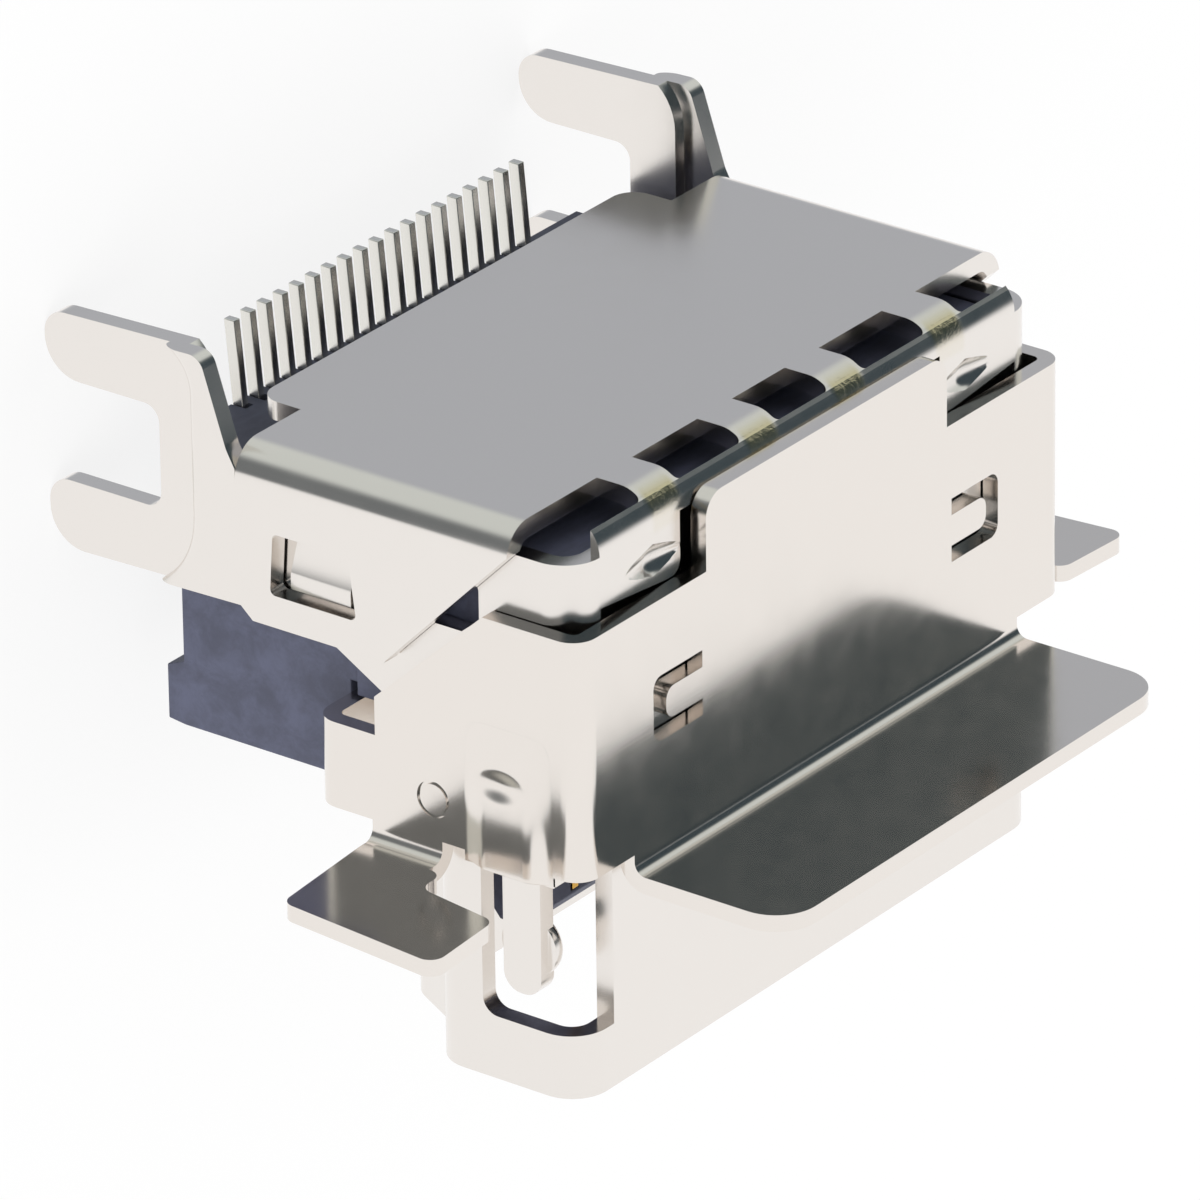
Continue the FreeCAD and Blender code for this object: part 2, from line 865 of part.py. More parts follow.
def grow_mouth(piece, d):
    """Mouth tube with its seam, side windows and spring fingers."""

    def ring(outline):
        outline.loop(mouth_outline(d), offset=d["inner_sheet"])

    piece.add("mouth_tube", "XZ_Plane", ZERO, d["nose_depth"], ring)
    past = d["cut_past"]
    bottom = d["nose_top"] - d["nose_height"]
    half_seam = d["seam_width"] * HALF
    seam = box(-half_seam, bottom - past, half_seam, bottom + d["inner_sheet"] + d["cut_into"])
    piece.cut("seam", "XZ_Plane", ZERO, d["nose_depth"], loops(seam))
    round_by = d["window_round"]
    tip_round = d["finger_round"]
    window = [
        Corner(d["window_front"], d["window_low"], round_by),
        Corner(d["window_rear"], d["window_low"]),
        Corner(d["window_rear"], d["finger_low"]),
        Corner(d["finger_tip"], d["finger_low"], tip_round),
        Corner(d["finger_tip"], d["finger_high"], tip_round),
        Corner(d["window_rear"], d["finger_high"]),
        Corner(d["window_rear"], d["nose_top"] + past),
        Corner(d["window_front"], d["nose_top"] + past),
    ]
    outer = d["nose_half_width"] + past
    opening = piece.cut("side_window", "YZ_Plane", d["window_inboard"], outer, loops(window))
    piece.mirror(opening)


def press_dimples(piece, d):
    """A round dimple near the tip of each finger, which touches the plug."""
    wall = d["nose_half_width"] - d["inner_sheet"]
    middle = d["dimple_from_mouth"]
    axis = wall + d["dimple_radius"] - d["dimple_lift"]
    high = (d["finger_low"] + d["finger_high"]) * HALF
    half = d["dimple_half_length"]
    deep = axis - d["dimple_radius"]
    profile = [
        Corner(axis, middle + half),
        Corner(axis, middle - half),
        Corner(deep, middle - half, d["dimple_end_round"]),
        Corner(deep, middle + half, d["dimple_end_round"]),
    ]
    dimple = piece.spin("Revolution", "dimple", "XY_Plane", high, profile)
    piece.mirror(dimple)


def cut_springs(piece, d):
    """Slits that free two contact springs in the roof and two in the floor of the tube."""
    half = d["spring_half_width"]
    slit = d["spring_slit"]
    middle = d["spring_middle"]
    root = d["nose_depth"] - d["spring_root"]
    around = [
        Corner(middle - half - slit, d["spring_front"]),
        Corner(middle + half + slit, d["spring_front"]),
        Corner(middle + half + slit, root),
        Corner(middle + half, root),
        Corner(middle + half, d["spring_front"] + slit),
        Corner(middle - half, d["spring_front"] + slit),
        Corner(middle - half, root),
        Corner(middle - half - slit, root),
    ]
    top = d["nose_top"]
    sheet = d["inner_sheet"]
    into = d["cut_into"]
    past = d["cut_past"]
    piece.cut("roof_springs", "XY_Plane", top - sheet - into, top + past, both_sides(around))
    bottom = top - d["nose_height"]
    piece.cut("floor_springs", "XY_Plane", bottom - past, bottom + sheet + into, both_sides(around))


def cut_lenses(piece, d):
    """Lens-shaped louvres near the rear corners, and the step under the outer shell."""
    top = d["nose_top"]
    past = d["cut_past"]
    inboard = d["recess_inboard"]
    outboard = d["recess_outboard"]
    step = with_mirror([
        Corner(outboard, d["recess_front"]),
        Corner(outboard, d["recess_rear_out"]),
        Corner(inboard, d["recess_rear"], d["recess_round"]),
        Corner(inboard, d["box_rear"]),
    ])
    piece.cut("roof_recess", "XY_Plane", top - d["recess_depth"], top + past, loops(step))
    middle = d["lens_middle"]
    half = d["lens_half_length"]
    axis = top + d["lens_radius"] - d["lens_depth"]
    deep = axis - d["lens_radius"]
    profile = [
        Corner(middle + half, axis),
        Corner(middle - half, axis),
        Corner(middle, deep),
    ]
    lens = piece.spin("Groove", "roof_lens", "XZ_Plane", d["lens_from_mouth"], profile)
    piece.mirror(lens)


def make_inner_shell(doc, d):
    piece = Piece(doc, "inner_shell", d)
    grow_cover(piece, d)
    grow_forks(piece, d)
    shape_flaps(piece, d)
    grow_apron(piece, d)
    grow_bend(piece, d)
    grow_box(piece, d)
    press_bumps(piece, d)
    grow_mouth(piece, d)
    press_dimples(piece, d)
    cut_springs(piece, d)
    cut_lenses(piece, d)
    return piece


def grow_sleeve(piece, d):
    """Closed sleeve round the mouth tube and the roof with side walls behind it."""
    half = d["nose_half_width"] + d["shell_gap"] + d["outer_sheet"]
    top = d["nose_top"] + d["shell_gap"] + d["outer_sheet"]
    bottom = d["nose_top"] - d["nose_height"] - d["shell_gap"] - d["outer_sheet"]
    corner = d["sleeve_corner"]
    sheet = d["outer_sheet"]

    def ring(outline):
        outline.loop(box(-half, bottom, half, top, corner), offset=sheet)

    piece.add("sleeve", "XZ_Plane", d["sleeve_front"], d["sleeve_bottom_rear"], ring)
    plan = channel_half(d, half, d["sleeve_side_low"], top, corner, sheet)
    piece.add("roof", "XZ_Plane", d["sleeve_bottom_rear"], d["sleeve_roof_rear"], loops(plan))
    past = d["cut_past"]
    slant = [
        Corner(d["sleeve_side_rear"], d["sleeve_side_low"] - past),
        Corner(d["sleeve_roof_rear"] + past, d["sleeve_side_low"] - past),
        Corner(d["sleeve_roof_rear"] + past, d["sleeve_slant_high"]),
        Corner(d["sleeve_roof_rear"], d["sleeve_slant_high"]),
        Corner(d["sleeve_side_rear"], d["sleeve_side_low"]),
    ]
    piece.cut("sleeve_slant", "YZ_Plane", -half - past, half + past, loops(slant))
    wide = d["sleeve_tongue_half_width"]
    rear = d["sleeve_tongue_rear"]
    tongue = [
        Corner(-wide, d["sleeve_roof_rear"]),
        Corner(wide, d["sleeve_roof_rear"]),
        Corner(wide, rear, d["sleeve_tongue_round"]),
        Corner(-wide, rear, d["sleeve_tongue_round"]),
    ]
    piece.add("roof_tongue", "XY_Plane", top - sheet, top, loops(tongue))
    return half, top


def grow_lips(piece, d, half):
    """Side walls that reach a little further towards the mouth than the roof."""
    lip = box(half - d["outer_sheet"], d["bulge_low"], half, d["bulge_high"])
    piece.add("lips", "XZ_Plane", d["sleeve_lip"], d["sleeve_front"], both_sides(lip))


def grow_flange(piece, d, top):
    """Panel flange bent up from the front edge of the roof."""
    front = d["flange_front"]
    sheet = d["outer_sheet"]
    bend = d["flange_bend"]
    side = [
        Corner(front, top - sheet, bend + sheet),
        Corner(d["sleeve_front"], top - sheet),
        Corner(d["sleeve_front"], top),
        Corner(front + sheet, top, bend),
        Corner(front + sheet, d["flange_top"]),
        Corner(front, d["flange_top"]),
    ]
    half = d["flange_half_width"]
    piece.add("panel_flange", "YZ_Plane", -half, half, loops(side))
    places = []
    for across in (half.value, -half.value):
        places.append(FreeCAD.Vector(across, 0, d["flange_top"].value))
    piece.round_edges("flange_corners", d["flange_corner"], FreeCAD.Vector(0, 1, 0), places)


def grow_ears(piece, d, half):
    """Small panel ears bent outwards from the side walls."""
    front = d["flange_front"]
    sheet = d["outer_sheet"]
    bend = d["flange_bend"]
    root = [
        Corner(half - sheet, front, bend + sheet),
        Corner(d["ear_root_out"], front),
        Corner(d["ear_root_out"], front + sheet),
        Corner(half, front + sheet, bend),
        Corner(half, d["sleeve_front"]),
        Corner(half - sheet, d["sleeve_front"]),
    ]
    piece.add("ear_roots", "XY_Plane", d["ear_low"], d["ear_root_high"], both_sides(root))
    round_by = d["ear_round"]
    plate = [
        Corner(d["ear_root_out"], d["ear_low"]),
        Corner(d["ear_reach_out_low"], d["ear_reach_low"], round_by),
        Corner(d["ear_reach"], d["ear_top"], round_by),
        Corner(d["ear_top_in"], d["ear_top_in_high"], round_by),
        Corner(d["ear_neck"], d["ear_shelf"], round_by),
        Corner(d["ear_shelf_in"], d["ear_shelf"], round_by),
        Corner(d["ear_root_out"], d["ear_root_high"]),
    ]
    piece.add("ears", "XZ_Plane", front, front + sheet, both_sides(plate))


def cut_lances(piece, d, top):
    """Openings in the roof, each round a tongue rooted on its inboard side."""
    round_by = d["lance_round"]
    around = [
        Corner(d["lance_inboard"], d["lance_front"]),
        Corner(d["lance_outboard"], d["lance_front"], round_by),
        Corner(d["lance_outboard"], d["lance_rear"], round_by),
        Corner(d["lance_inboard"], d["lance_rear"]),
        Corner(d["lance_inboard"], d["lance_tongue_rear"]),
        Corner(d["lance_tongue_out"], d["lance_tongue_rear"], round_by),
        Corner(d["lance_tongue_out"], d["lance_tongue_front"], round_by),
        Corner(d["lance_inboard"], d["lance_tongue_front"]),
    ]
    low = top - d["outer_sheet"] - d["cut_into"]
    piece.cut("lances", "XY_Plane", low, top + d["cut_past"], both_sides(around))


def press_marks(piece, d, half):
    """A bulge, a fine ring and an oval dent in each side wall."""
    lift = d["bulge_lift"]
    front = d["sleeve_lip"]
    bulge = box(front, d["bulge_low"], d["bulge_rear"], d["bulge_high"])
    raised = piece.add("bulge", "YZ_Plane", half - d["outer_sheet"] * HALF, half + lift, loops(bulge))
    piece.mirror(raised)
    places = []
    for across in ((half + lift).value, -(half + lift).value):
        places.append(FreeCAD.Vector(across, 0, d["bulge_low"].value))
        places.append(FreeCAD.Vector(across, 0, d["bulge_high"].value))
    piece.round_edges("bulge_sides", d["bulge_round"], FreeCAD.Vector(0, 1, 0), places)
    places = []
    for across in ((half + lift).value, -(half + lift).value):
        places.append(FreeCAD.Vector(across, d["bulge_rear"].value, 0))
    piece.round_edges("bulge_rear_edges", d["bulge_round"], FreeCAD.Vector(0, 0, 1), places)

    def ring(outline):
        place = (d["ring_from_mouth"], d["ring_high"])
        outline.circle(*place, d["ring_radius"])
        outline.circle(*place, d["ring_radius"] - d["ring_line"])

    line = piece.cut("ring_mark", "YZ_Plane", half - d["ring_depth"], half + d["cut_past"], ring)
    piece.mirror(line)
    length = d["dent_half_length"]
    radius = d["dent_radius"]
    axis = half + lift + radius - d["dent_depth"]
    deep = axis - radius
    high = d["dent_high"]
    profile = [
        Corner(axis, high - length),
        Corner(axis, high + length),
        Corner(deep, high + length, d["dent_end_round"]),
        Corner(deep, high - length, d["dent_end_round"]),
    ]
    dent = piece.spin("Groove", "oval_dent", "XZ_Plane", d["dent_from_mouth"], profile)
    piece.mirror(dent)


def make_outer_shell(doc, d):
    piece = Piece(doc, "outer_shell", d)
    half, top = grow_sleeve(piece, d)
    grow_lips(piece, d, half)
    grow_flange(piece, d, top)
    grow_ears(piece, d, half)
    cut_lances(piece, d, top)
    press_marks(piece, d, half)
    return piece


def upper_levels(d):
    """Top and underside of the contact beams on top of the tongue."""
    high = d["tongue_top"] + d["contact_proud"]
    return high, high - d["contact_tall"]


def lower_levels(d):
    """Top and underside of the contact beams under the tongue."""
    low = d["tongue_top"] - d["tongue_thick"] - d["contact_proud"]
    return low + d["contact_tall"], low


def row_start(d, count):
    """Middle of the first contact of a row."""
    return -(d["contact_pitch"] * (count - 1) * HALF)


def cut_contact_slots(piece, d, name, levels, leg, count, low):
    """Grooves along the tongue that turn down into slots open to the rear."""
    high, under = levels
    gap = d["contact_gap"]
    past = d["cut_past"]
    rear = d["block_rear"] + past
    slot = [
        Corner(d["contact_front"] - gap, under - gap),
        Corner(leg - gap, under - gap),
        Corner(leg - gap, low - past),
        Corner(rear, low - past),
        Corner(rear, high + gap),
        Corner(d["contact_front"] - gap, high + gap),
    ]
    half = d["contact_wide"] * HALF + gap
    first = row_start(d, count)
    cut = piece.cut(name, "YZ_Plane", first - half, first + half, loops(slot))
    piece.repeat(cut, d["contact_pitch"], count)


def make_housing(doc, d):
    piece = Piece(doc, "housing", d)
    wide = d["block_half_width"] - d["pedestal_inset"]
    comb_top = d["comb_top"] + d["plastic_gap"]
    pedestal = [
        Corner(d["pedestal_front"], d["pedestal_low"]),
        Corner(d["foot_front"], ZERO),
        Corner(d["foot_rear"], ZERO),
        Corner(d["foot_rear"] + d["foot_bevel"], d["pedestal_low"]),
        Corner(d["pedestal_rear"], d["pedestal_low"]),
        Corner(d["pedestal_rear"], comb_top),
        Corner(d["block_rear"], comb_top),
        Corner(d["block_rear"], d["block_top"]),
        Corner(d["block_front"], d["block_top"]),
        Corner(d["block_front"], d["pedestal_top"]),
        Corner(d["pedestal_front"], d["pedestal_top"]),
    ]
    piece.add("pedestal", "YZ_Plane", -wide, wide, loops(pedestal))
    full = d["block_half_width"]
    block = box(d["block_front"], d["block_low"], d["block_rear"], d["block_top"])
    piece.add("block", "YZ_Plane", -full, full, loops(block))
    places = []
    for across in (full.value, -full.value):
        places.append(FreeCAD.Vector(across, 0, d["block_top"].value))
    piece.round_edges("block_corners", d["nose_corner"], FreeCAD.Vector(0, 1, 0), places)
    top = d["tongue_top"]
    low = top - d["tongue_thick"]
    front = d["tongue_front"]
    tongue = [
        Corner(front, low + d["tongue_bevel_high"]),
        Corner(front + d["tongue_bevel"], low),
        Corner(d["block_front"], low),
        Corner(d["block_front"], top),
        Corner(front + d["tongue_bevel"], top),
        Corner(front, top - d["tongue_bevel_high"]),
    ]
    half = d["tongue_half_width"]
    piece.add("tongue", "YZ_Plane", -half, half, loops(tongue))
    cut_contact_slots(
        piece, d, "upper_slot", upper_levels(d), d["upper_leg"], d["upper_count"], comb_top
    )
    cut_contact_slots(
        piece, d, "lower_slot", lower_levels(d), d["lower_leg"], d["lower_count"], comb_top
    )
    return piece


def tail_height(d, from_mouth):
    """Height of a tail's underside: flat on the board at its end, rising forwards."""
    return (d["tail_end"] - from_mouth) * d["tail_rise"]


def cut_comb_slots(piece, d, name, leg, count):
    """Slots for the legs, with a notch below that lets each tail out to the rear."""
    gap = d["contact_gap"]
    tall = d["contact_tall"]
    past = d["cut_past"]
    above = tail_height(d, leg) + tall + gap
    slot = [
        Corner(leg - gap, d["comb_low"] - past),
        Corner(d["comb_rear"] + past, d["comb_low"] - past),
        Corner(d["comb_rear"] + past, above),
        Corner(leg + tall + gap, above),
        Corner(leg + tall + gap, d["comb_top"] + past),
        Corner(leg - gap, d["comb_top"] + past),
    ]
    half = d["contact_wide"] * HALF + gap
    first = row_start(d, count)
    cut = piece.cut(name, "YZ_Plane", first - half, first + half, loops(slot))
    piece.repeat(cut, d["contact_pitch"], count)


def make_tail_guide(doc, d):
    piece = Piece(doc, "tail_guide", d)
    front = d["pedestal_rear"] + d["plastic_gap"]
    half = d["comb_half_width"]
    side = [
        Corner(front, d["comb_low"]),
        Corner(d["comb_rear"], d["comb_low"]),
        Corner(d["comb_rear"], d["comb_top"] - d["comb_scallop"]),
        Corner(d["comb_rear"] - d["comb_scallop"], d["comb_top"]),
        Corner(front, d["comb_top"]),
    ]
    piece.add("comb", "YZ_Plane", -half, half, loops(side))
    cut_comb_slots(piece, d, "upper_leg_slot", d["upper_leg"], d["upper_count"])
    cut_comb_slots(piece, d, "lower_leg_slot", d["lower_leg"], d["lower_count"])
    return piece


def make_contact(doc, d, node, middle, levels, leg):
    """A stamped contact: beam on the tongue, leg down, tail out to the rear."""
    high, under = levels
    tall = d["contact_tall"]
    behind = leg + tall
    bend = d["contact_bend"]
    piece = Piece(doc, node, d)
    side = [
        Corner(d["contact_front"], under),
        Corner(leg, under),
        Corner(leg, tail_height(d, leg), bend),
        Corner(d["tail_end"], ZERO),
        Corner(d["tail_end"], tall),
        Corner(behind, tail_height(d, behind) + tall),
        Corner(behind, high, bend),
        Corner(d["contact_front"], high),
    ]
    half = d["contact_wide"] * HALF
    piece.add(node + "_strip", "YZ_Plane", middle - half, middle + half, loops(side))
    return piece


def make_contacts(doc, d):
    """Two rows whose tails interleave into one line."""
    pieces = []
    total = SIZES["upper_count"] + SIZES["lower_count"]
    for number in range(total):
        is_upper = number % ROWS == 0
        count = d["upper_count"] if is_upper else d["lower_count"]
        levels = upper_levels(d) if is_upper else lower_levels(d)
        leg = d["upper_leg"] if is_upper else d["lower_leg"]
        middle = row_start(d, count) + d["contact_pitch"] * (number // ROWS)
        node = "contact_" + str(number + 1).zfill(2)
        pieces.append(make_contact(doc, d, node, middle, levels, leg))
    return pieces


def check_document(doc):
    """Stop on any object that failed or any pocket that took nothing away."""
    for thing in doc.Objects:
        for mark in ("Invalid", "Error"):
            if mark in thing.State:
                raise RuntimeError(thing.Name + " is " + mark)
        if thing.isDerivedFrom("PartDesign::Fillet") and not thing.Shape.isValid():
            raise RuntimeError(thing.Name + " has a broken shape")
        if thing.isDerivedFrom("PartDesign::Pocket"):
            if thing.Shape.Volume >= thing.BaseFeature.Shape.Volume - SETTLED:
                raise RuntimeError(thing.Name + " removes nothing")
    for thing in doc.Objects:
        if thing.isDerivedFrom("PartDesign::Body"):
            if thing.Shape.isNull() or not thing.Shape.isValid():
                raise RuntimeError(thing.Name + " has no valid shape")
            if len(thing.Shape.Solids) != 1:
                raise RuntimeError(thing.Name + " is not one solid")


def main():
    os.makedirs("parts", exist_ok=True)
    doc = FreeCAD.newDocument("hdmi_socket")
    dims = fill_sheet(doc)
    pieces = [
        make_inner_shell(doc, dims),
        make_outer_shell(doc, dims),
        make_housing(doc, dims),
        make_tail_guide(doc, dims),
    ]
    pieces += make_contacts(doc, dims)
    doc.recompute()
    check_document(doc)
    for piece in pieces:
        piece.body.Shape.exportStep(os.path.join("parts", piece.body.Label + ".step"))


main()
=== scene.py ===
import logging
import math
from collections.abc import Callable
from dataclasses import dataclass, field
from enum import Enum

import bmesh
import bpy
import numpy as np
from mathutils import Euler, Matrix, Vector


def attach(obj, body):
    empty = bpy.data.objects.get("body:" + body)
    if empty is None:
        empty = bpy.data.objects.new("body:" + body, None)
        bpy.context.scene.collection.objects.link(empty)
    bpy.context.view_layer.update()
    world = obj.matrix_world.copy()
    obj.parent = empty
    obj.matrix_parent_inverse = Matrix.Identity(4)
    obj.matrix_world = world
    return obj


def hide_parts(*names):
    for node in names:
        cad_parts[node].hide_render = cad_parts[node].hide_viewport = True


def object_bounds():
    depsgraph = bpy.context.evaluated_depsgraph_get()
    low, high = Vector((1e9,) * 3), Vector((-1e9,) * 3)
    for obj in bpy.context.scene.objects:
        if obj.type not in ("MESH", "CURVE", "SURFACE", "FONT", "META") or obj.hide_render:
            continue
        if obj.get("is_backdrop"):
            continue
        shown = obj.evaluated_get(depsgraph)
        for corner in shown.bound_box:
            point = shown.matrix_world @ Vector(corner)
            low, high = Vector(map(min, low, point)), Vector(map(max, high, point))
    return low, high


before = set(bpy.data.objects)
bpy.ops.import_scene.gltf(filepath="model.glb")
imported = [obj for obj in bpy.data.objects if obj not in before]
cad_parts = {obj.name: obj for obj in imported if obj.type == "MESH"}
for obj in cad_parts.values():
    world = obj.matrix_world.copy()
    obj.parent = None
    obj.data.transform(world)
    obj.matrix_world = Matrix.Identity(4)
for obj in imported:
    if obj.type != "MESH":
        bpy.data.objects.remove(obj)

# Looks of a board-mount HDMI socket: plated sheet shells, dark moulded plastic, fine contacts.
# Blender works in metres, so sizes below are millimetres times MM.

MM = 0.001
MICRON = 0.001 * MM
BODY = "root"
WHITE_HEX = "FFFFFF"
SHARP_ABOVE = math.radians(38)

log = logging.getLogger("hdmi_socket")

Socket = bpy.types.NodeSocket
Tree = bpy.types.NodeTree


class RaySee(Enum):
    """Outputs of the light path node that tell rays apart."""

    CAMERA = "Is Camera Ray"
    GLOSSY = "Is Glossy Ray"
    THROUGH = "Is Transmission Ray"


class MixPart(Enum):
    """Numbers of a colour mix node's sockets, as its names stand for several sockets each."""

    FIRST = 6
    SECOND = 7
    RESULT = 2


def linear(hex_text: str) -> tuple[float, float, float, float]:
    """Turn an sRGB hex colour into the linear numbers that shaders want.

    Args:
        hex_text: six hex digits, red first.

    Returns:
        Linear red, green, blue and an alpha of one.
    """
    parts = [int(hex_text[place:place + 2], 16) / 255 for place in (0, 2, 4)]
    bright = [((part + 0.055) / 1.055) ** 2.4 if part > 0.04045 else part / 12.92 for part in parts]
    return (bright[0], bright[1], bright[2], 1.0)


def node(
    tree: Tree,
    kind: str,
    settings: dict | None = None,
    values: dict | None = None,
    links: dict | None = None,
) -> bpy.types.Node:
    """Add one node with its settings and incoming links.

    Args:
        tree: the node tree that gets it.
        kind: the node's type name.
        settings: properties by name.
        values: numbers or colours by the name or number of their input.
        links: output sockets by the name or number of the input they feed.

    Returns:
        The new node.
    """
    made = tree.nodes.new(kind)
    for name, setting in (settings or {}).items():
        setattr(made, name, setting)
    for name, value in (values or {}).items():
        made.inputs[name].default_value = value
    for name, source in (links or {}).items():
        tree.links.new(source, made.inputs[name])
    return made


def mixed_colour(tree: Tree, share: Socket, first: str | Socket, second: str | Socket) -> Socket:
    """Mix two colours.

    Args:
        tree: the tree to work in.
        share: how much of the second colour there is.
        first: a hex colour or the socket that gives one.
        second: a hex colour or the socket that gives one.

    Returns:
        The mixed colour.
    """
    mix = node(tree, "ShaderNodeMix", {"data_type": "RGBA"}, {}, {"Factor": share})
    for part, colour in ((MixPart.FIRST, first), (MixPart.SECOND, second)):
        if isinstance(colour, str):
            mix.inputs[part.value].default_value = linear(colour)
        else:
            tree.links.new(colour, mix.inputs[part.value])
    return mix.outputs[MixPart.RESULT.value]


def ramp(tree: Tree, value: Socket, start: float, end: float) -> Socket:
    """Rise smoothly from zero to one between two values, or fall where the start is the higher."""
    low, high = sorted((start, end))
    ends = (0.0, 1.0) if start < end else (1.0, 0.0)
    made = node(
        tree, "ShaderNodeMapRange",
        {"interpolation_type": "SMOOTHSTEP"},
        {"From Min": low, "From Max": high, "To Min": ends[0], "To Max": ends[1]},
        {"Value": value},
    )
    return made.outputs["Result"]


def combined(tree: Tree, operation: str, first: Socket, second: Socket) -> Socket:
    """Join two values with one of the math node's operations."""
    made = node(tree, "ShaderNodeMath", {"operation": operation}, {}, {0: first, 1: second})
    return made.outputs[0]


def within(tree: Tree, value: Socket, low: float, high: float, fade: float) -> Socket:
    """One between two values and zero outside them.

    Args:
        tree: the tree to work in.
        value: what is tested.
        low: the lower end.
        high: the upper end.
        fade: how far each end is softened to either side.

    Returns:
        The share, from zero to one.
    """
    rise = ramp(tree, value, low - fade, low + fade)
    fall = ramp(tree, value, high + fade, high - fade)
    return combined(tree, "MULTIPLY", rise, fall)


def blank_material(name: str) -> tuple[bpy.types.Material, Tree]:
    """Make a material with an empty node tree.

    Args:
        name: what the real finish is called.

    Returns:
        The material and its tree.
    """
    material = bpy.data.materials.new(name)
    material.use_nodes = True
    material.node_tree.nodes.clear()
    return material, material.node_tree


def shows(tree: Tree, surface: Socket) -> None:
    """Let the material show a surface."""
    node(tree, "ShaderNodeOutputMaterial", {}, {}, {"Surface": surface})


def object_place(tree: Tree, scale: tuple[float, float, float] = (1.0, 1.0, 1.0)) -> Socket:
    """Give the object coordinates, multiplied by a scale for each axis.

    Args:
        tree: the tree to work in.
        scale: repeats per metre along X, Y and Z.

    Returns:
        The scaled place.
    """
    place = node(tree, "ShaderNodeTexCoord").outputs["Object"]
    mapped = node(tree, "ShaderNodeMapping", {}, {"Scale": scale}, {"Vector": place})
    return mapped.outputs["Vector"]


def noise(
    tree: Tree,
    size: tuple[float, float, float],
    detail: float,
    roughness: float = 0.5,
    warp: float = 0.0,
) -> Socket:
    """Give a noise with features of a real size.

    Args:
        tree: the tree to work in.
        size: how long a feature is along X, Y and Z, in metres.
        detail: how many finer layers are added.
        roughness: how much each finer layer counts against the one before.
        warp: how far the noise is bent by itself.

    Returns:
        The noise, from zero to one.
    """
    made = node(
        tree, "ShaderNodeTexNoise", {},
        {"Scale": 1.0, "Detail": detail, "Roughness": roughness, "Distortion": warp},
        {"Vector": object_place(tree, tuple(1 / length for length in size))},
    )
    return made.outputs["Fac"]


def bump(
    tree: Tree, height: Socket, depth: float, strength: float = 1.0, below: Socket | None = None
) -> Socket:
    """Tilt the shading by a height.

    Args:
        tree: the tree to work in.
        height: the height, from zero to one.
        depth: how deep a height of one is, in metres.
        strength: the share of the effect that shows.
        below: the normal that it builds on, or none for the mesh's own.

    Returns:
        The tilted normal.
    """
    links = {"Height": height} if below is None else {"Height": height, "Normal": below}
    made = node(
        tree, "ShaderNodeBump", {}, {"Strength": strength, "Distance": depth}, links
    )
    return made.outputs["Normal"]


def grid_mesh(name: str, points: np.ndarray, closed: bool = False) -> bpy.types.Mesh:
    """Lay four-sided faces over a grid of points.

    Args:
        name: what the mesh is called.
        points: rows by columns by three, in metres.
        closed: whether one more face closes the grid's rim from behind.

    Returns:
        The mesh, its faces turned to the side from which rows and columns run counter-clockwise.
    """
    rows, columns = points.shape[:2]
    number = np.arange(rows * columns).reshape(rows, columns)
    around = (number[:-1, :-1], number[:-1, 1:], number[1:, 1:], number[1:, :-1])
    corners = np.stack(around, axis=-1).reshape(-1, len(around)).tolist()
    if closed:
        rim = (number[0, :-1], number[:-1, -1], number[-1, :0:-1], number[:0:-1, 0])
        corners.append(np.concatenate(rim)[::-1].tolist())
    mesh = bpy.data.meshes.new(name)
    mesh.from_pydata(points.reshape(-1, points.shape[2]).tolist(), [], corners)
    return mesh


def shown(mesh: bpy.types.Mesh) -> bpy.types.Object:
    """Put a mesh into the scene as an object at the origin."""
    made = bpy.data.objects.new(mesh.name, mesh)
    bpy.context.scene.collection.objects.link(made)
    return made


@dataclass(frozen=True)
class StretchedBends:
    """Narrow bridges of a bend, where the plate was stretched until it creased.

    The creases scatter the mirror, and the thinned nickel lets the warm strip metal through.
    """

    spans: tuple[tuple[float, float], ...] = ((0.95 * MM, 1.85 * MM), (4.12 * MM, 5.02 * MM))
    rise: tuple[float, float] = (9.85 * MM, 10.4 * MM)
    reach: tuple[float, float] = (5.6 * MM, 6.35 * MM)
    fade: float = 0.1 * MM
    metal_hex: str = "DDD2AE"
    crease: float = 0.2 * MM
    crease_lift: float = 15 * MICRON
    crease_detail: float = 3.0
    crease_roughness: float = 0.6
    crease_warp: float = 1.2

    def share(self, tree: Tree) -> Socket:
        """Say where the bridges are: by height, by depth and by distance from the middle."""
        place = node(tree, "ShaderNodeSeparateXYZ", {}, {}, {"Vector": object_place(tree)})
        aside = node(tree, "ShaderNodeMath", {"operation": "ABSOLUTE"}, {}, {0: place.outputs["X"]})
        high = within(tree, place.outputs["Z"], *self.rise, self.fade)
        deep = within(tree, place.outputs["Y"], *self.reach, self.fade)
        strips = [within(tree, aside.outputs[0], *span, self.fade) for span in self.spans]
        either = combined(tree, "MAXIMUM", *strips)
        return combined(tree, "MULTIPLY", either, combined(tree, "MULTIPLY", high, deep))

    def creases(self, tree: Tree) -> Socket:
        """Give the height of the creases, as a noise a few tenths of a millimetre across."""
        size = (self.crease,) * 3
        return noise(tree, size, self.crease_detail, self.crease_roughness, self.crease_warp)


